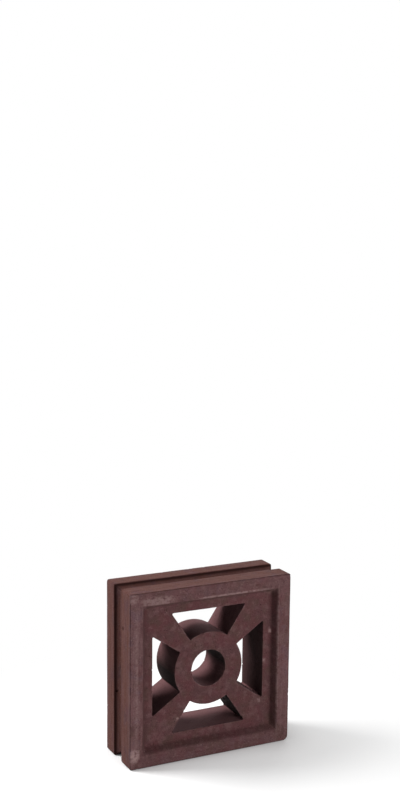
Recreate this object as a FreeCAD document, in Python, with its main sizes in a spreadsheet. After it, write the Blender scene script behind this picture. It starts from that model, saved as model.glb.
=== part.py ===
"""Decorative screen block of pigmented concrete, modelled as the one casting it is.

A square slab with a bevelled recess in both faces. Its web is pierced by a bore and by four
flared openings, which leave a ring carried on four diagonal spokes. A mortar groove runs
round the four edge faces.

Millimetres. The block stands on its lower edge: +Z is up, the viewer's side faces -Y, and the
origin is at the middle of its footprint. The body is drawn about the block's centre, and its
placement lifts it on to the ground.
"""

import FreeCAD, Part
import Sketcher
import math
import os

NODE = "screen_block"

SIZES = {
    "face_size": 300.0,            # width and height of the square block
    "thickness": 100.0,            # from the front face to the back face
    "corner_radius": 4.0,          # rounding of the four corners seen from the front
    "arris_radius": 1.5,           # rounding of the outer and inner edges of each border
    "border_width": 23.0,          # flat border at full thickness
    "bevel_run": 8.5,              # width of the sloping step down to the panel
    "recess_depth": 13.0,          # depth of the panel below the border, front and back
    "frame_width": 46.0,           # from the block's side to the nearest opening
    "spoke_outer_width": 49.5,     # between the corners of neighbouring openings
    "spoke_flare": 10.8,           # angle of each spoke side to the diagonal, in degrees
    "ring_diameter": 127.0,        # outer rim of the ring
    "bore_diameter": 63.0,         # round hole through the ring
    "opening_corner_radius": 1.2,  # rounding of the outer corners of each opening
    "groove_mouth": 32.0,          # width of the mortar groove at the edge face
    "groove_depth": 9.5,
    "groove_setback": 2.5,         # the groove lies this far behind mid-thickness
}

SIDES = 4                          # an opening and a groove to each side of the block
FULL_TURN, HALF_TURN, RIGHT_ANGLE, DIAGONAL = 360, 180, 90, 45
TOLERANCE = 1e-3

# Sketch points, and the sketch's own origin and upright axis
START, END, CENTRE = range(1, 4)
LEVEL_AXIS, UPRIGHT_AXIS = range(-1, -3, -1)
ROOT = (LEVEL_AXIS, START)
OUT_OF_SKETCH = FreeCAD.Vector(0, 0, 1)


def add_sheet(doc):
    """The driving dimensions, one named cell each."""
    sheet = doc.addObject("Spreadsheet::Sheet", "sizes")
    for row, (name, value) in enumerate(SIZES.items(), start=1):
        sheet.set(f"A{row}", name)
        sheet.set(f"B{row}", str(value))
        sheet.setAlias(f"B{row}", name)
    doc.recompute()


def origin_feature(body, role):
    """One of the body's own planes or axes."""
    return next(item for item in body.Origin.OriginFeatures if item.Role == role)


def add_sketch(body, name, plane):
    sketch = body.newObject("Sketcher::SketchObject", name)
    sketch.AttachmentSupport = (origin_feature(body, plane), [""])
    sketch.MapMode = "FlatFace"
    return sketch


def point(x, y):
    return FreeCAD.Vector(x, y, 0)


def add_line(sketch, start, end):
    return sketch.addGeometry(Part.LineSegment(point(*start), point(*end)))


def add_arc(sketch, centre, radius, from_angle, to_angle):
    """An arc that runs anticlockwise between two angles in degrees."""
    circle = Part.Circle(point(*centre), OUT_OF_SKETCH, radius)
    arc = Part.ArcOfCircle(circle, math.radians(from_angle), math.radians(to_angle))
    return sketch.addGeometry(arc)


def constrain(sketch, kind, *items):
    sketch.addConstraint(Sketcher.Constraint(kind, *items))


def dimension(sketch, kind, *items, formula):
    """A sketch dimension that follows a formula in the sheet's sizes."""
    value = sketch.evalExpression(formula)
    start = math.radians(value) if kind == "Angle" else value
    index = sketch.addConstraint(Sketcher.Constraint(kind, *items, start))
    sketch.setExpression(f"Constraints[{index}]", formula)


def add_square(sketch, half, formula):
    """A square about the sketch's origin. half places it roughly, formula gives its side."""
    corners = [(-half, -half), (half, -half), (half, half), (-half, half)]
    sides = [add_line(sketch, corners[i], corners[(i + 1) % SIDES]) for i in range(SIDES)]
    for i, side in enumerate(sides):
        constrain(sketch, "Coincident", side, END, sides[(i + 1) % SIDES], START)
        constrain(sketch, "Vertical" if i % 2 else "Horizontal", side)
    constrain(sketch, "Symmetric", sides[0], START, sides[2], START, *ROOT)
    dimension(sketch, "DistanceX", sides[0], START, sides[0], END, formula=formula)
    dimension(sketch, "DistanceY", sides[1], START, sides[1], END, formula=formula)


def cut_through(body, sketch, name):
    """Cuts a sketch through the whole body, both ways from its plane."""
    pocket = body.newObject("PartDesign::Pocket", name)
    pocket.Profile = sketch
    pocket.SideType = "Symmetric"
    pocket.Type = "ThroughAll"
    return pocket


def repeat_on_each_side(body, feature, name):
    """Repeats a cut on the four sides, round the block's front-to-back axis."""
    pattern = body.newObject("PartDesign::PolarPattern", name)
    pattern.Originals = [feature]
    pattern.Axis = (origin_feature(body, "Y_Axis"), [""])
    pattern.Angle = FULL_TURN
    pattern.Occurrences = SIDES
    body.Tip = pattern


def add_slab(body):
    sketch = add_sketch(body, "slab_outline", "XZ_Plane")
    add_square(sketch, SIZES["face_size"] / 2, "sizes.face_size")
    slab = body.newObject("PartDesign::Pad", "slab")
    slab.Profile = sketch
    slab.SideType = "Symmetric"
    slab.setExpression("Length", "sizes.thickness")


def add_recesses(body):
    """The sunk panel with its mitred bevel, in the front face and again in the back."""
    sketch = add_sketch(body, "recess_mouth", "XZ_Plane")
    sketch.setExpression("AttachmentOffset.Base.z", "sizes.thickness / 2")
    half = SIZES["face_size"] / 2 - SIZES["border_width"]
    add_square(sketch, half, "sizes.face_size - 2 * sizes.border_width")
    recess = body.newObject("PartDesign::Pocket", "front_recess")
    recess.Profile = sketch
    recess.setExpression("Length", "sizes.recess_depth")
    recess.setExpression("TaperAngle", "-atan(sizes.bevel_run / sizes.recess_depth)")

    mirror = body.newObject("PartDesign::Mirrored", "back_recess")
    mirror.Originals = [recess]
    mirror.MirrorPlane = (origin_feature(body, "XZ_Plane"), [""])
    body.Tip = mirror


def add_bore(body):
    sketch = add_sketch(body, "bore_outline", "XZ_Plane")
    radius = SIZES["bore_diameter"] / 2
    circle = sketch.addGeometry(Part.Circle(point(0, 0), OUT_OF_SKETCH, radius))
    constrain(sketch, "Coincident", circle, CENTRE, *ROOT)
    dimension(sketch, "Diameter", circle, formula="sizes.bore_diameter")
    cut_through(body, sketch, "bore")


def add_openings(body):
    """Four flared openings: each widens outward from the ring to the frame."""
    sketch = add_sketch(body, "opening_outline", "XZ_Plane")
    reach = SIZES["face_size"] / 2 - SIZES["frame_width"]
    half_width = reach - SIZES["spoke_outer_width"] / math.sqrt(2)
    rim = SIZES["ring_diameter"] / 2
    rim_angle = DIAGONAL + SIZES["spoke_flare"]
    near_x = rim * math.cos(math.radians(rim_angle))
    near_y = rim * math.sin(math.radians(rim_angle))

    frame_edge = add_line(sketch, (-half_width, reach), (half_width, reach))
    right_edge = add_line(sketch, (half_width, reach), (near_x, near_y))
    rim_arc = add_arc(sketch, (0, 0), rim, rim_angle, HALF_TURN - rim_angle)
    left_edge = add_line(sketch, (-near_x, near_y), (-half_width, reach))

    constrain(sketch, "Coincident", frame_edge, END, right_edge, START)
    constrain(sketch, "Coincident", right_edge, END, rim_arc, START)
    constrain(sketch, "Coincident", rim_arc, END, left_edge, START)
    constrain(sketch, "Coincident", left_edge, END, frame_edge, START)
    constrain(sketch, "Coincident", rim_arc, CENTRE, *ROOT)
    constrain(sketch, "Symmetric", frame_edge, START, frame_edge, END, UPRIGHT_AXIS)
    constrain(sketch, "Symmetric", rim_arc, START, rim_arc, END, UPRIGHT_AXIS)
    dimension(sketch, "Radius", rim_arc, formula="sizes.ring_diameter / 2")
    dimension(sketch, "DistanceY", *ROOT, frame_edge, START,
              formula="sizes.face_size / 2 - sizes.frame_width")
    dimension(sketch, "DistanceX", frame_edge, START, frame_edge, END,
              formula="sizes.face_size - 2 * sizes.frame_width - sqrt(2) * sizes.spoke_outer_width")
    dimension(sketch, "Angle", frame_edge, END, right_edge, START,
              formula=f"{DIAGONAL} + sizes.spoke_flare")
    opening = cut_through(body, sketch, "top_opening")
    repeat_on_each_side(body, opening, "openings")


def add_mortar_groove(body):
    """The hollow groove in the lower edge face, repeated all round so it mitres."""
    sketch = add_sketch(body, "groove_profile", "YZ_Plane")
    edge = -SIZES["face_size"] / 2
    half_mouth = SIZES["groove_mouth"] / 2
    depth = SIZES["groove_depth"]
    setback = SIZES["groove_setback"]
    radius = (half_mouth ** 2 + depth ** 2) / (2 * depth)
    spread = math.degrees(math.asin(half_mouth / radius))

    mouth = add_line(sketch, (setback - half_mouth, edge), (setback + half_mouth, edge))
    hollow = add_arc(sketch, (setback, edge + depth - radius), radius,
                     RIGHT_ANGLE - spread, RIGHT_ANGLE + spread)

    constrain(sketch, "Coincident", mouth, END, hollow, START)
    constrain(sketch, "Coincident", hollow, END, mouth, START)
    constrain(sketch, "Horizontal", mouth)
    dimension(sketch, "DistanceX", mouth, START, mouth, END, formula="sizes.groove_mouth")
    dimension(sketch, "Radius", hollow,
              formula="sizes.groove_mouth ^ 2 / (8 * sizes.groove_depth) + sizes.groove_depth / 2")
    dimension(sketch, "DistanceX", *ROOT, hollow, CENTRE, formula="sizes.groove_setback")
    dimension(sketch, "DistanceY", mouth, START, *ROOT, formula="sizes.face_size / 2")
    groove = cut_through(body, sketch, "bottom_groove")
    repeat_on_each_side(body, groove, "mortar_groove")


def edge_names(shape, wanted):
    """Names of the edges whose middle point and direction pass the test."""
    names = []
    for number, edge in enumerate(shape.Edges, start=1):
        middle = edge.valueAt((edge.FirstParameter + edge.LastParameter) / 2)
        direction = edge.tangentAt(edge.FirstParameter)
        if wanted(middle, direction):
            names.append(f"Edge{number}")
    return names


def add_fillet(body, name, size, wanted):
    """Rounds the chosen edges of the body as it stands."""
    base = body.Tip
    body.Document.recompute()
    fillet = body.newObject("PartDesign::Fillet", name)
    fillet.Base = (base, edge_names(base.Shape, wanted))
    fillet.setExpression("Radius", f"sizes.{size}")


def runs_front_to_back(direction):
    return abs(direction.y) > 1 - TOLERANCE


def round_block_corners(body):
    """The four corners of the plain slab."""
    add_fillet(body, "block_corners", "corner_radius",
               lambda middle, direction: runs_front_to_back(direction))


def round_border_arrises(body):
    """The edges of the flat borders, outside and at the mouth of each recess."""
    face = SIZES["thickness"] / 2
    add_fillet(body, "border_arrises", "arris_radius",
               lambda middle, direction: abs(abs(middle.y) - face) < TOLERANCE)


def round_opening_corners(body):
    """The two corners of each opening that lie against the frame."""
    reach = SIZES["face_size"] / 2 - SIZES["frame_width"]

    def against_frame(middle, direction):
        farthest = max(abs(middle.x), abs(middle.z))
        return runs_front_to_back(direction) and abs(farthest - reach) < TOLERANCE

    add_fillet(body, "opening_corners", "opening_corner_radius", against_frame)


def build_block(doc):
    body = doc.addObject("PartDesign::Body", NODE)
    body.Label = NODE
    add_slab(body)
    round_block_corners(body)
    add_recesses(body)
    round_border_arrises(body)
    add_bore(body)
    add_openings(body)
    round_opening_corners(body)
    add_mortar_groove(body)
    body.setExpression("Placement.Base.z", "sizes.face_size / 2")
    return body


def check(doc, body):
    doc.recompute()
    failed = [item.Name for item in doc.Objects if {"Invalid", "Error"} & set(item.State)]
    if failed:
        raise RuntimeError(f"features failed: {', '.join(failed)}")
    if body.Shape.isNull() or not body.Shape.isValid():
        raise RuntimeError(f"{body.Label} has no valid shape")


def main():
    doc = FreeCAD.newDocument("screen_block_model")
    add_sheet(doc)
    block = build_block(doc)
    check(doc, block)
    os.makedirs("parts", exist_ok=True)
    block.Shape.exportStep(f"parts/{block.Label}.step")


main()
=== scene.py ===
"""Looks of a decorative screen block of pigmented cast concrete, on a pale studio floor.

The block's true shape comes from the frame. Its casting is worn, pitted and coloured here.
Everything is in metres, with the block standing on z = 0 and its front towards -Y.
"""

import math

import bpy
import numpy as np
from mathutils import Matrix, Vector, noise
from mathutils.bvhtree import BVHTree


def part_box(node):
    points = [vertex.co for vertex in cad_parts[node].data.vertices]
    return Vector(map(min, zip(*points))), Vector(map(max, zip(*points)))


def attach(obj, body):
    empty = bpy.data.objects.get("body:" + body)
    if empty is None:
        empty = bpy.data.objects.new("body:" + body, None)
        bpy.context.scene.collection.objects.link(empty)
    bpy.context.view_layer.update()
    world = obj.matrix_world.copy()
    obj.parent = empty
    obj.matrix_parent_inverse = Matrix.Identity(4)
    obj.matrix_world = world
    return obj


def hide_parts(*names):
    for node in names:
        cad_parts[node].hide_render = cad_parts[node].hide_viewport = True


bl_info = {
    "name": "Screen Block",
    "version": (1, 0, 0),
    "blender": (4, 5, 0),
    "location": "View3D > Sidebar > Screen Block",
    "description": "Casts a pigmented concrete screen block and sets it on a studio floor",
    "category": "Object",
}

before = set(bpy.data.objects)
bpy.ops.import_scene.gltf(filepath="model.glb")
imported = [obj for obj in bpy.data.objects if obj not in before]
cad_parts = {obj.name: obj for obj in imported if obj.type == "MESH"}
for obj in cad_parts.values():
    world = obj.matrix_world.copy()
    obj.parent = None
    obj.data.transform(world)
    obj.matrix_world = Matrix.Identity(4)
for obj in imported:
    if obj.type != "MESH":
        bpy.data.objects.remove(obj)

NODE = "screen_block"
BODY = "root"
MM = 0.001
MIX_A, MIX_B, MIX_RESULT = 6, 7, 2      # the Mix node's sockets for colours
PLACES = ("border", "upright", "flank", "wall", "painted_wall_light", "foot", "lip", "edge", "rubbed", "bloom",
          "pit")
SEED = 11
BOX_LOW, BOX_HIGH = (np.array(corner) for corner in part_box(NODE))
BLOCK_HEIGHT = float(BOX_HIGH[2] - BOX_LOW[2])
HALF_WIDTH = float(BOX_HIGH[0])
HALF_DEPTH = float(BOX_HIGH[1])

# Where the casting changes, in millimetres: in from the block's sides, and out from mid-thickness
BORDER, FRAME = 23, 46                  # inner edge of the flat border, and of the frame
BEVEL_FOOT = 29                         # a little above where the bevel meets the panel
PANEL, FACE = 37, 50                    # the sunk panel and the border's face
GROOVE_LIP = 14                         # inner side of the groove's rear lip, behind the middle

# What casting and handling leave, in millimetres or as a share of the radius
AIR_HOLE_RADII, AIR_HOLE_SINK = (1.0, 1.9), (0.3, 0.6)
CHIP_RADII, CHIP_SINK = (1.2, 3.4), 0.75
WEAR_SPAN = 20                          # distance between more and less rubbed places
LOWER_CORNER, UPPER_CORNER = 6, 4.2     # worn corners on the right; the lower doubles to the front
SAND, DARK_SAND = 1.7, 1.9              # grains as drawn
AIR_HOLE_SPACING = 9


def linear(hex_colour):
    """sRGB hex text, such as #5C3A39, as a linear RGBA colour."""
    channels = [int(hex_colour[i:i + 2], 16) / 255 for i in (1, 3, 5)]
    return [c / 12.92 if c <= 0.04045 else ((c + 0.055) / 1.055) ** 2.4 for c in channels] + [1]


def colour(name, description, hex_colour):
    """A colour property of an add-on panel, which Blender keeps in linear light."""
    return bpy.props.FloatVectorProperty(
        name=name, description=description, subtype="COLOR", size=4, min=0, max=1,
        default=linear(hex_colour))


def length(name, description, millimetres):
    """A length property of an add-on panel, which Blender keeps in metres."""
    return bpy.props.FloatProperty(
        name=name, description=description, default=millimetres * MM, min=0,
        precision=5, unit="LENGTH", subtype="DISTANCE")


def power(name, description, watts):
    """A lamp's power, as a property of an add-on panel."""
    return bpy.props.FloatProperty(
        name=name, description=description, default=watts, min=0, subtype="POWER", unit="POWER")


class CastingSettings(bpy.types.PropertyGroup):
    """Sizes of what casting, demoulding and handling leave on the block."""
    grid: length("Grid", "Spacing of the even grid that the casting is carved on", 1.0)
    undulation: length("Undulation", "How far the cast faces dip between their high spots", 0.25)
    undulation_span: length("Undulation span", "Distance between the dips", 45)
    triangle_limit: bpy.props.IntProperty(
        name="Triangle limit", description="Most triangles in the finished casting",
        default=190000, min=10000)
    wear: length("Wear", "How far round the arrises are rubbed down", 1.0)
    recess_wear: length("Recess wear", "The same at the bevels round the panel", 1.9)
    pores: bpy.props.IntProperty(
        name="Air holes", description="Air holes large enough to see", default=160, min=0)
    chips: bpy.props.IntProperty(
        name="Chips", description="Small chips along the arrises", default=110, min=0)


class FinishSettings(bpy.types.PropertyGroup):
    """Colours of the concrete, of what casting and weather leave on it, and of painted light and
    shade.
    """
    body: colour("Concrete", "Cement and iron oxide as cast", "#523738")
    brown: colour("Thin pigment", "Patches with less oxide", "#4F3A34")
    red: colour("Rich pigment", "Patches with more oxide", "#5A3236")
    flank: colour("Sides", "Top, base and sides, which the mould's walls have scoured", "#603D35")
    laitance: colour("Laitance", "Grey skin of cement along the borders", "#6D5051")
    violet: colour("Damp laitance", "The same skin where it is thin and damp", "#5E464C")
    lime: colour("Lime bloom", "Pale salts on arrises and corners", "#8F7472")
    # Painted light: a paler tint on walls inside the openings that face up and to the left,
    # towards the lamps.
    painted_wall_light: colour("Painted wall light", "Painted light on walls inside the openings that face up and to the left", "#7A5658")
    # Painted shade on the walls of the openings, darkest towards the front. The same colour draws
    # dark streaks on the sides.
    wall_shade_and_streaks: colour("Wall shade and side streaks", "Painted shade on the walls of the openings, and dark streaks on the sides", "#170908")
    # Grime in pores, pits and dark sand. The same colour paints shade, with some grime, at the
    # foot of the bevels, and paints shade on the groove's rear lip and along the outer arrises.
    dirt_and_shade: colour("Grime and painted shade", "Grime in pores and pits, painted shade with some grime at the foot of the bevels, painted shade on the groove's rear lip and the outer arrises", "#260C09")


class StageSettings(bpy.types.PropertyGroup):
    """Camera, lamps and floor."""
    lens: bpy.props.FloatProperty(
        name="Lens", description="Focal length on a 36 mm high frame", default=58.03, min=1,
        unit="CAMERA")
    camera_place: bpy.props.FloatVectorProperty(
        name="Camera place", description="Where the camera stands", subtype="TRANSLATION",
        unit="LENGTH", default=(-0.9461, -1.8956, 0.9206))
    camera_pan: bpy.props.FloatProperty(
        name="Pan", description="Turn of the view from +Y towards +X", subtype="ANGLE",
        unit="ROTATION", default=math.radians(26.456))
    camera_tilt: bpy.props.FloatProperty(
        name="Tilt", description="Rise of the view above level", subtype="ANGLE",
        unit="ROTATION", default=math.radians(-8.551))
    camera_roll: bpy.props.FloatProperty(
        name="Roll", description="Lean of the camera to its left", subtype="ANGLE",
        unit="ROTATION", default=math.radians(0.563))
    side_power: power("Side softbox", "Lights the left side and the floor's shadow", 85)
    front_power: power("Front softbox", "Lights the front, from low and a little to the right", 41)
    back_power: power("Back softbox", "Lights the back", 15)
    surround: bpy.props.FloatProperty(
        name="Surround", description="Even light from all round", default=0.03, min=0)


def even_grid(step):
    """The frame's block as a mesh of even square faces, fine enough to carve."""
    block = bpy.data.objects.new("even_grid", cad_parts[NODE].data.copy())
    bpy.context.scene.collection.objects.link(block)
    remesh = block.modifiers.new("even grid", "REMESH")
    remesh.mode = "VOXEL"
    remesh.voxel_size = step
    mesh = with_modifiers(block)
    bpy.data.objects.remove(block)
    return mesh


def with_modifiers(piece):
    """The mesh of a piece after its modifiers."""
    bpy.context.view_layer.update()
    return bpy.data.meshes.new_from_object(
        piece.evaluated_get(bpy.context.evaluated_depsgraph_get()))


def read_points(mesh):
    points = np.empty(len(mesh.vertices) * 3)
    mesh.vertices.foreach_get("co", points)
    return points.reshape(-1, 3)


def read_normals(mesh):
    normals = np.empty(len(mesh.vertices) * 3, np.float32)
    mesh.vertex_normals.foreach_get("vector", normals)
    return normals.reshape(-1, 3).astype(float)


def read_edges(mesh):
    edges = np.empty(len(mesh.edges) * 2, np.int64)
    mesh.edges.foreach_get("vertices", edges)
    return edges.reshape(-1, 2)


def write_points(mesh, points):
    mesh.vertices.foreach_set("co", points.ravel())
    mesh.update()


def seat_on_frame(points):
    """Each point moved to the nearest place on the frame's own surface."""
    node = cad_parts[NODE].data
    tree = BVHTree.FromPolygons([v.co for v in node.vertices],
                                [p.vertices for p in node.polygons])
    return np.array([tree.find_nearest(point)[0] for point in points.tolist()])


def neighbour_mean(values, edges):
    """Mean of each point's joined neighbours, for one number or a row of them per point."""
    rows = values.reshape(len(values), -1)
    count = np.bincount(edges.ravel(), minlength=len(rows))
    mean = np.empty_like(rows)
    for column in range(rows.shape[1]):
        mean[:, column] = (
            np.bincount(edges[:, 0], rows[edges[:, 1], column], len(rows))
            + np.bincount(edges[:, 1], rows[edges[:, 0], column], len(rows))) / count
    return mean.reshape(values.shape)


def smooth_noise(points, span, seed):
    """Soft noise from -1 to 1, with its high spots about a span apart."""
    shift = Vector((seed, seed * 2, seed * 3))
    return np.array([noise.noise(Vector(point) / span + shift) for point in points.tolist()])


def rub_down(points, edges, grid, reach, share):
    """Rounds the arrises over a reach, in full where the share is 1."""
    for _ in range(round(2 * (reach / grid) ** 2)):
        points = points + share[:, None] * (neighbour_mean(points, edges) - points)
    return points


def round_corner(points, across, up, radius):
    """Rounds one of the block's corners, seen from the front, to a radius given per point."""
    side, level = points[:, 0] * across, (points[:, 2] - BLOCK_HEIGHT / 2) * up
    centre = BLOCK_HEIGHT / 2 - radius
    over_side, over_level = np.maximum(side - centre, 0), np.maximum(level - centre, 0)
    reach = np.hypot(over_side, over_level)
    shrink = np.where((over_side > 0) & (over_level > 0) & (reach > radius),
                      radius / np.maximum(reach, 1e-9), 1)
    points[:, 0] += across * over_side * (shrink - 1)
    points[:, 2] += up * over_level * (shrink - 1)


def scoop(points, centre, radii):
    """Carves out an ellipsoid: points inside it are pushed to its skin."""
    offset = (points - centre) / radii
    share = np.linalg.norm(offset, axis=1)
    inside = (share < 1) & (share > 0)
    points[inside] = centre + offset[inside] / share[inside, None] * radii


def worn_corners(points):
    """The front corners on the right have lost their sharpness in handling, the lower one most."""
    toward_front = (HALF_DEPTH - points[:, 1]) / (2 * HALF_DEPTH)
    round_corner(points, 1, -1, LOWER_CORNER * (1 + toward_front) * MM)
    round_corner(points, 1, 1, UPPER_CORNER * MM)


def pick(chance, weights, count):
    """Points picked at random, more often where the weight is greater."""
    return chance.choice(len(weights), size=count, replace=False, p=weights / weights.sum())


def carve_air_holes(points, normals, chance, count):
    """Round pits that air bubbles against the mould have left."""
    even = np.ones(len(points))
    for spot in pick(chance, even, count):
        radius = chance.uniform(*AIR_HOLE_RADII) * MM
        sink = radius * chance.uniform(*AIR_HOLE_SINK)
        scoop(points, points[spot] + normals[spot] * sink, radius)


def carve_chips(points, normals, convexity, chance, count):
    """Small bites out of the arrises."""
    for spot in pick(chance, np.maximum(convexity, 0) ** 2, count):
        radii = chance.uniform(*CHIP_RADII, size=3) * MM
        scoop(points, points[spot] + normals[spot] * radii.min() * CHIP_SINK, radii)


def carve_marks(points):
    """The larger marks of this block: centre and half lengths in millimetres."""
    marks = (
        ((-153.0, 53.0, 208.5), (5.5, 5.5, 13.0)),   # nick in the upright arris at the back left
        ((-150.8, -21.0, 234.3), (2.4, 2.4, 4.4)),   # pit in the flange on the left side
        ((-146.0, 14.6, 114.4), (2.6, 2.6, 3.2)),    # pit in the groove on the left side
    )
    for centre, radii in marks:
        scoop(points, np.array(centre) * MM, np.array(radii) * MM)


def recess_edge(points):
    """1 on the bevels between border and panel, and 0 from a few millimetres off them."""
    depth, inset = np.abs(points[:, 1]) / MM, inset_from_side(points)
    return (ramp(depth, PANEL - 3, PANEL - 1) * ramp(inset, BORDER - 9, BORDER - 5)
            * ramp(inset, FRAME - 5, FRAME - 9))


def inset_from_side(points):
    """How far in each point lies from the nearest side, top or base, in millimetres."""
    level = points[:, 2] - BLOCK_HEIGHT / 2
    return (HALF_WIDTH - np.maximum(np.abs(points[:, 0]), np.abs(level))) / MM


def carved_casting(settings):
    """The block with worn arrises, faces that dip a little, air holes and chips."""
    chance = np.random.default_rng(SEED)
    grid = settings.grid
    mesh = even_grid(grid)
    edges = read_edges(mesh)
    points = seat_on_frame(read_points(mesh))
    points = rub_down(points, edges, grid, settings.recess_wear, recess_edge(points))
    uneven = np.clip(0.55 + 0.45 * smooth_noise(points, WEAR_SPAN * MM, SEED), 0.15, 1)
    points = rub_down(points, edges, grid, settings.wear, uneven)
    worn_corners(points)
    write_points(mesh, points)
    normals = read_normals(mesh)
    dip = 0.5 - 0.5 * smooth_noise(points, settings.undulation_span, SEED + 1)
    convexity = -np.einsum("ij,ij->i", neighbour_mean(points, edges) - points, normals)
    convexity = neighbour_mean(convexity, edges) / grid
    points -= normals * (settings.undulation * dip)[:, None]
    carve_chips(points, normals, convexity, chance, settings.chips)
    carve_air_holes(points, normals, chance, settings.pores)
    carve_marks(points)
    write_points(mesh, np.clip(points, BOX_LOW, BOX_HIGH))
    for name, share in shares(points, normals, convexity).items():
        store(mesh, name, share)
    return fewer_triangles(mesh, settings.triangle_limit)


def ramp(values, low, high):
    """0 up to low and 1 from high, and the other way round where low is the higher."""
    return np.clip((values - low) / (high - low), 0, 1)


def shares(points, normals, convexity):
    """How far each point belongs to each part of the block that the material tells apart."""
    x, y, z = points.T / MM
    level, depth, inset = z - BLOCK_HEIGHT / (2 * MM), np.abs(y), inset_from_side(points)
    upright = ramp(np.abs(x) - np.abs(level), -1, 1)
    wall = ramp(inset, FRAME - 2, FRAME) * ramp(depth, PANEL - 0.2, PANEL - 3)
    # Facing up and to the left, towards the lamps. Walls that face this way get painted light
    # instead of painted shade.
    facing_the_light = ramp(normals[:, 2] - 0.4 * normals[:, 0], 0.3, 0.9)     # faces up and to the left
    # Strength of the painted shade, with some grime, at the foot of the bevels: most beside the
    # upright borders, less at the bottom, none at the top.
    foot_shade_and_grime = np.where(upright > 0.5, 0.75, np.where(level < 0, 0.45, 0))
    skin = upright * np.where(x < 0, 1, 0.8) + (1 - upright) * np.where(level > 0, 0.5, 0.4)
    arris = ramp(convexity, 0.02, 0.12)
    return {
        "border": ramp(depth, FACE - 8, FACE - 3) * ramp(inset, BORDER + 3, BORDER - 1) * skin,
        "upright": upright,
        "flank": ramp(depth, FACE - 0.6, FACE - 1.4) * ramp(inset, BORDER - 9, BORDER - 12),
        # Painted shade on the walls of the openings, except those that face up and to the left,
        # fading out towards the back.
        "wall": wall * (1 - facing_the_light) * ramp(y, FACE + 2, FACE - 24),
        # Painted light on walls inside the openings that face up and to the left.
        "painted_wall_light": wall * facing_the_light,
        # Painted shade, with some grime, at the foot of the bevels.
        "foot": (np.exp(-((inset - BEVEL_FOOT) / 6) ** 2) * ramp(depth, PANEL - 2, PANEL - 0.5)
                 * foot_shade_and_grime),
        # Painted shade on the groove's rear lip.
        "lip": (ramp(y, GROOVE_LIP, GROOVE_LIP + 2.5) * ramp(y, GROOVE_LIP + 5.5, GROOVE_LIP + 4)
                * ramp(inset, 0.4, 1.5) * ramp(inset, 8, 5)),
        # Painted shade along the block's outer arrises.
        "edge": arris * ramp(inset, 12, 8),
        "rubbed": arris * ramp(inset, FRAME - 12, FRAME - 6),
        "bloom": (bloom_marks(x, z) * ramp(y, 2 - PANEL, 0.5 - PANEL)
                  * ramp(normals[:, 1], -0.3, -0.6)),
        "pit": pit_marks(points),
    }


def pit_marks(points):
    """The block's larger pits, which hold dirt: middle and reach in millimetres."""
    marks = ((-150.0, -21.0, 234.3, 4.5), (-145.5, 15.1, 114.4, 4.0))
    return np.max([ramp(np.linalg.norm(points - np.array(centre) * MM, axis=1), reach * MM, 0)
                   for *centre, reach in marks], axis=0)


def bloom_marks(x, z):
    """Patches of lime bloom on the front: middle, half lengths and strength, in millimetres."""
    marks = (
        (-143, 291, 7, 6, 0.6),         # top left corner
        (-142, 24, 7.5, 9.5, 1),        # bottom left corner
        (-100, 283, 24, 6, 0.6),        # top border
        (40, 277.5, 58, 1.8, 0.8),      # top border's inner arris
        (127, 150, 1.5, 115, 0.4),      # right border's inner arris
        (-138, 150, 2.0, 105, 0.4),     # streak down the left border
        (-57.9, 69.4, 2.2, 2.2, 1),     # specks
        (116.9, 198.5, 2.2, 2.4, 1),
        (106.3, 148.3, 2.0, 2.2, 0.9),
        (98.2, 76.6, 2.2, 2.2, 1),
    )
    bloom = np.zeros(len(x))
    for middle_x, middle_z, half_x, half_z, strength in marks:
        reach = ((x - middle_x) / half_x) ** 4 + ((z - middle_z) / half_z) ** 4
        bloom = np.maximum(bloom, strength * ramp(reach, 3.5, 0.2))
    return bloom


def store(mesh, name, values):
    """Keeps one number per point, for the material to read."""
    layer = mesh.attributes.new(name, "FLOAT", "POINT")
    layer.data.foreach_set("value", values.astype(np.float32))


def fewer_triangles(mesh, limit):
    """The mesh with its flatter parts drawn in fewer triangles."""
    block = bpy.data.objects.new("full_casting", mesh)
    bpy.context.scene.collection.objects.link(block)
    thin_out = block.modifiers.new("fewer triangles", "DECIMATE")
    thin_out.ratio = min(1, limit / (2 * len(mesh.polygons)))
    thinned = with_modifiers(block)
    bpy.data.objects.remove(block)
    thinned.shade_smooth()
    return thinned


def add_node(tree, kind, inputs=None, **settings):
    """Adds a node, with its settings and what goes into its sockets: a value or a link."""
    node = tree.nodes.new(kind)
    for name, value in settings.items():
        setattr(node, name, value)
    for socket, value in (inputs or {}).items():
        if isinstance(value, bpy.types.NodeSocket):
            tree.links.new(value, node.inputs[socket])
        else:
            node.inputs[socket].default_value = value
    return node


def new_material(name):
    material = bpy.data.materials.new(name)
    material.use_nodes = True
    material.node_tree.nodes.clear()
    return material


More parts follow.
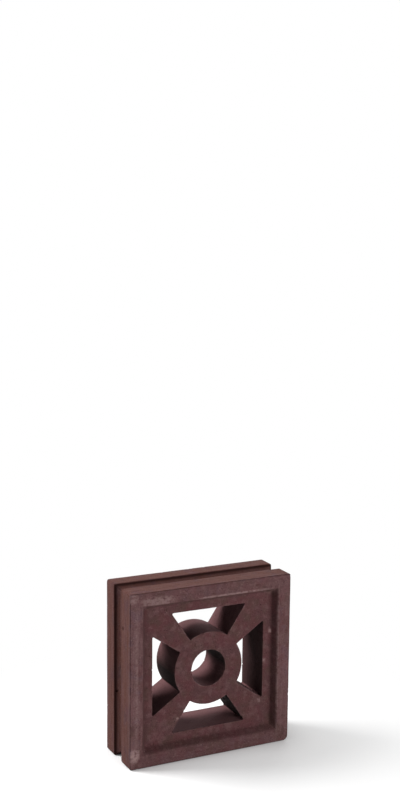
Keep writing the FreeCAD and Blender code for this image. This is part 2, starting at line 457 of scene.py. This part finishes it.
def pigmented_concrete(finish):
    """Concrete coloured right through with iron oxide, cast in a steel mould and left bare.

    The eye gets a dry, dull, dark red-brown stone: cloudy pigment, a streaky grey skin of cement
    on the borders, pale rubbed arrises, sand and air holes. Painted shade darkens the walls of the
    openings, the foot of the bevels, the groove's rear lip and the outer arrises, and painted
    light brightens the walls inside the openings that face up and to the left.
    """
    material = new_material("pigmented cast concrete")
    tree = material.node_tree
    place = add_node(tree, "ShaderNodeTexCoord").outputs["Object"]
    on = {name: add_node(tree, "ShaderNodeAttribute", attribute_name=name).outputs["Fac"]
          for name in PLACES}
    streaks = streaks_along(tree, place, on["upright"], 3.2, 55, 0.42, 0.62)
    dark_streaks = streaks_along(tree, place, on["upright"], 2.4, 34, 0.55, 0.72)
    # The sand is 0.3 to 0.8 mm across, too fine to show, so its grains are drawn 2 mm across.
    pale_sand = patches(tree, place, (SAND, SAND, SAND), 0.58, 0.76, detail=1)
    dark_sand = patches(tree, place, (DARK_SAND, DARK_SAND, DARK_SAND), 0.56, 0.74, detail=1)
    holes = air_holes(tree, place)
    tone = finish.body
    for tint, part, pattern, strength in (
            (finish.brown, 1, patches(tree, place, (24, 24, 24), 0.42, 0.62), 0.6),
            (finish.red, 1, patches(tree, place, (22, 22, 22), 0.35, 0.7), 0.6),
            (finish.laitance, 1, patches(tree, place, (9, 9, 9), 0.45, 0.72), 0.45),
            (finish.flank, on["flank"], patches(tree, place, (20, 20, 45), 0.3, 0.5), 0.85),
            (finish.laitance, on["border"], patches(tree, place, (26, 26, 26), 0.35, 0.6), 0.55),
            (finish.laitance, on["border"], streaks, 0.5),
            (finish.violet, on["border"], patches(tree, place, (16, 16, 16), 0.5, 0.66), 0.7),
            (finish.body, on["border"], dark_streaks, 0.45),
            (finish.laitance, on["flank"], streaks, 0.35),
            (finish.wall_shade_and_streaks, on["flank"], dark_streaks, 0.2),
            (finish.lime, 1, pale_sand, 0.33),
            # Painted shade on the walls of the openings.
            (finish.wall_shade_and_streaks, on["wall"], 1, 0.97),
            # Painted light on walls inside the openings that face up and to the left.
            (finish.painted_wall_light, on["painted_wall_light"], 1, 0.9),
            # Painted shade, with some grime, at the foot of the bevels.
            (finish.dirt_and_shade, on["foot"], 1, 0.55),
            # Painted shade on the groove's rear lip.
            (finish.dirt_and_shade, on["lip"], 1, 0.95),
            # Painted shade along the block's outer arrises.
            (finish.dirt_and_shade, on["edge"], patches(tree, place, (14, 14, 14), 0.3, 0.5), 0.7),
            (finish.dirt_and_shade, on["pit"], 1, 0.85),
            (finish.lime, on["rubbed"], patches(tree, place, (10, 10, 10), 0.4, 0.6), 0.5),
            (finish.lime, on["bloom"], patches(tree, place, (5, 5, 5), 0.28, 0.6), 1),
            (finish.dirt_and_shade, 1, dark_sand, 0.38),
            (finish.dirt_and_shade, 1, holes, 0.7)):
        share = add_node(tree, "ShaderNodeMath", {0: part, 1: pattern}, operation="MULTIPLY")
        share = add_node(tree, "ShaderNodeMath", {0: share.outputs[0], 1: strength},
                         operation="MULTIPLY")
        tone = add_node(tree, "ShaderNodeMix", {
            0: share.outputs[0], MIX_A: tone, MIX_B: tint}, data_type="RGBA").outputs[MIX_RESULT]
    relief = None
    for pattern, height in ((pale_sand, 0.12), (dark_sand, -0.15), (streaks, 0.05), (holes, -0.8)):
        relief = add_node(tree, "ShaderNodeBump", {
            "Height": pattern, "Distance": abs(height) * MM, "Strength": 1,
            **({"Normal": relief.outputs["Normal"]} if relief else {})}, invert=height < 0)
    # Bare concrete is close to fully rough, and a little less so where cement skin covers sand.
    roughness = add_node(tree, "ShaderNodeMapRange", {
        "Value": on["border"], "To Min": 0.92, "To Max": 0.8})
    shader = add_node(tree, "ShaderNodeBsdfPrincipled", {
        "Base Color": tone, "Roughness": roughness.outputs["Result"], "IOR": 1.5,
        "Specular IOR Level": 0.15, "Normal": relief.outputs["Normal"]})
    add_node(tree, "ShaderNodeOutputMaterial", {"Surface": shader.outputs["BSDF"]})
    return material


def patches(tree, place, span, low, high, detail=3):
    """Soft patches about a span long, given along x, y and z in millimetres."""
    apart = [3.7 * sum(span), 1.3 * low, 5.1 * high]    # so that no two patterns coincide
    steps = add_node(tree, "ShaderNodeVectorMath", {
        0: place, 1: [1 / (along * MM) for along in span], 2: apart}, operation="MULTIPLY_ADD")
    cloud = add_node(tree, "ShaderNodeTexNoise", {
        "Vector": steps.outputs["Vector"], "Scale": 1, "Detail": detail})
    return add_node(tree, "ShaderNodeMapRange", {
        "Value": cloud.outputs["Fac"], "From Min": low, "From Max": high},
        interpolation_type="SMOOTHSTEP").outputs["Result"]


def streaks_along(tree, place, upright, width, run, low, high):
    """Streaks that run up the block's upright borders and along its level ones."""
    level_run = patches(tree, place, (run, width, width), low, high)
    upright_run = patches(tree, place, (width, width, run), low, high)
    return add_node(tree, "ShaderNodeMix", {0: upright, 2: level_run, 3: upright_run}).outputs[0]


def air_holes(tree, place):
    """Air holes up to 2.5 mm across, of uneven size, with one in every 9 mm or so."""
    cell = add_node(tree, "ShaderNodeTexVoronoi", {
        "Vector": place, "Scale": 1 / (AIR_HOLE_SPACING * MM)})
    size = add_node(tree, "ShaderNodeMath", {0: cell.outputs["Color"], 1: 0.14},
                    operation="MULTIPLY")
    reach = add_node(tree, "ShaderNodeMath", {0: cell.outputs["Distance"], 1: size.outputs[0]},
                     operation="DIVIDE")
    return add_node(tree, "ShaderNodeMapRange", {
        "Value": reach.outputs[0], "From Min": 1, "From Max": 0.6}).outputs["Result"]


def lay_floor():
    """A wide floor a hair below the block's base."""
    bpy.ops.mesh.primitive_plane_add(size=40, location=(0, 0, -0.2 * MM))
    floor = bpy.context.object
    floor.name = "studio_floor"
    floor.data.materials.append(matt_white_paint())


def matt_white_paint():
    """White paint: it takes the block's shadow close by, with a painted contact shadow where its
    glow fades next to the block, and runs into the backdrop far off.
    """
    material = new_material("matt white paint")
    tree = material.node_tree
    place = add_node(tree, "ShaderNodeNewGeometry")
    distance = add_node(tree, "ShaderNodeVectorMath", {0: place.outputs["Position"]},
                        operation="LENGTH")
    far = add_node(tree, "ShaderNodeMapRange", {
        "Value": distance.outputs["Value"], "From Min": 0.12, "From Max": 0.52},
        interpolation_type="SMOOTHSTEP")
    seen = seen_rays(tree)
    glow = add_node(tree, "ShaderNodeMath", {0: far.outputs["Result"], 1: seen},
                    operation="MULTIPLY")
    shade = add_node(tree, "ShaderNodeMix", {
        0: seen, MIX_A: linear("#BCBCBC"), MIX_B: linear("#E4E4E4")}, data_type="RGBA")
    paint = add_node(tree, "ShaderNodeBsdfDiffuse", {"Color": shade.outputs[MIX_RESULT]})
    # Painted contact shadow: the floor's glow to the camera fades where the block is within 6 cm.
    open_sky = add_node(tree, "ShaderNodeAmbientOcclusion", {"Distance": 0.06})
    contact_shaded_glow = add_node(tree, "ShaderNodeMath", {0: open_sky.outputs["AO"], 1: seen},
                    operation="MULTIPLY")
    painted_floor_glow = add_node(tree, "ShaderNodeEmission", {
        "Color": linear("#B4B4B4"), "Strength": contact_shaded_glow.outputs[0]})
    near = add_node(tree, "ShaderNodeAddShader", {
        0: paint.outputs["BSDF"], 1: painted_floor_glow.outputs["Emission"]})
    backdrop = add_node(tree, "ShaderNodeEmission", {"Color": linear("#FFFFFF")})
    surface = add_node(tree, "ShaderNodeMixShader", {
        0: glow.outputs[0], 1: near.outputs["Shader"], 2: backdrop.outputs["Emission"]})
    add_node(tree, "ShaderNodeOutputMaterial", {"Surface": surface.outputs["Shader"]})
    return material


def seen_rays(tree):
    """1 for what the camera sees, straight or in gloss or glass, and 0 for other light."""
    path = add_node(tree, "ShaderNodeLightPath")
    straight_or_gloss = add_node(tree, "ShaderNodeMath", {
        0: path.outputs["Is Camera Ray"], 1: path.outputs["Is Glossy Ray"]}, operation="MAXIMUM")
    any_seen = add_node(tree, "ShaderNodeMath", {
        0: straight_or_gloss.outputs[0], 1: path.outputs["Is Transmission Ray"]},
        operation="MAXIMUM")
    return any_seen.outputs[0]


def light_surround(strength):
    """A white backdrop to the eye, and a low even light on the block."""
    world = bpy.data.worlds.new("studio_surround")
    bpy.context.scene.world = world
    world.use_nodes = True
    tree = world.node_tree
    tree.nodes.clear()
    level = add_node(tree, "ShaderNodeMapRange", {"Value": seen_rays(tree), "To Min": strength})
    light = add_node(tree, "ShaderNodeBackground", {
        "Color": linear("#FFFFFF"), "Strength": level.outputs["Result"]})
    add_node(tree, "ShaderNodeOutputWorld", {"Surface": light.outputs["Background"]})


def add_lamp(name, place, size, watts):
    """A softbox turned to the middle of the block."""
    lamp = bpy.data.lights.new(name, "AREA")
    lamp.shape = "RECTANGLE"
    lamp.size, lamp.size_y = size
    lamp.energy = watts
    stand = bpy.data.objects.new(name, lamp)
    stand.location = place
    aim = Vector((0, 0, BLOCK_HEIGHT / 2)) - stand.location
    stand.rotation_euler = aim.to_track_quat("-Z", "Y").to_euler()
    stand.visible_camera = False
    bpy.context.scene.collection.objects.link(stand)


def add_camera(settings):
    """A camera where the settings put it, turned from level by pan, tilt and roll."""
    camera = bpy.data.objects.new("camera", bpy.data.cameras.new("camera"))
    bpy.context.scene.collection.objects.link(camera)
    camera.data.lens = settings.lens
    camera.matrix_world = (Matrix.Translation(settings.camera_place)
                           @ Matrix.Rotation(-settings.camera_pan, 4, "Z")
                           @ Matrix.Rotation(math.pi / 2 + settings.camera_tilt, 4, "X")
                           @ Matrix.Rotation(settings.camera_roll, 4, "Z"))
    bpy.context.scene.camera = camera


class SCREENBLOCK_OT_cast_block(bpy.types.Operator):
    """Carves the worn concrete casting over the frame's block"""
    bl_idname = "screenblock.cast_block"
    bl_label = "Cast block"

    def execute(self, context):
        settings = context.scene.screenblock_casting
        mesh = carved_casting(settings)
        mesh.materials.clear()
        mesh.materials.append(pigmented_concrete(context.scene.screenblock_finish))
        block = bpy.data.objects.new("cast_block", mesh)
        context.scene.collection.objects.link(block)
        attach(block, BODY)
        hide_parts(NODE)
        return {"FINISHED"}


class SCREENBLOCK_OT_set_stage(bpy.types.Operator):
    """Sets the floor, the lamps and the camera"""
    bl_idname = "screenblock.set_stage"
    bl_label = "Set stage"

    def execute(self, context):
        settings = context.scene.screenblock_stage
        lay_floor()
        for name, place, size, watts in (
                ("side_softbox", (-1.5, 1.05, 2.05), (1.2, 1.2), settings.side_power),
                ("front_softbox", (0.75, -2.2, 0.45), (1.3, 0.7), settings.front_power),
                ("back_softbox", (1.5, 1.9, 0.7), (1.4, 0.9), settings.back_power)):
            add_lamp(name, place, size, watts)
        add_camera(settings)
        light_surround(settings.surround)
        context.scene.view_settings.view_transform = "Standard"
        return {"FINISHED"}


class SCREENBLOCK_PT_panel(bpy.types.Panel):
    """Lists the block's steps and settings"""
    bl_label = "Screen Block"
    bl_idname = "SCREENBLOCK_PT_panel"
    bl_space_type = "VIEW_3D"
    bl_region_type = "UI"
    bl_category = "Screen Block"

    def draw(self, context):
        scene = context.scene
        column = self.layout.column()
        for step, groups in (
                (SCREENBLOCK_OT_cast_block, (scene.screenblock_casting, scene.screenblock_finish)),
                (SCREENBLOCK_OT_set_stage, (scene.screenblock_stage,))):
            for group in groups:
                for name in type(group).__annotations__:
                    column.prop(group, name)
            column.operator(step.bl_idname)


CLASSES = (
    CastingSettings,
    FinishSettings,
    StageSettings,
    SCREENBLOCK_OT_cast_block,
    SCREENBLOCK_OT_set_stage,
    SCREENBLOCK_PT_panel,
)


def register():
    for cls in CLASSES:
        bpy.utils.register_class(cls)
    bpy.types.Scene.screenblock_casting = bpy.props.PointerProperty(type=CastingSettings)
    bpy.types.Scene.screenblock_finish = bpy.props.PointerProperty(type=FinishSettings)
    bpy.types.Scene.screenblock_stage = bpy.props.PointerProperty(type=StageSettings)


def unregister():
    del bpy.types.Scene.screenblock_stage
    del bpy.types.Scene.screenblock_finish
    del bpy.types.Scene.screenblock_casting
    for cls in reversed(CLASSES):
        bpy.utils.unregister_class(cls)


def main():
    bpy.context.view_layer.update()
    register()
    bpy.ops.screenblock.cast_block()
    bpy.ops.screenblock.set_stage()


if __name__ == "__main__":
    main()
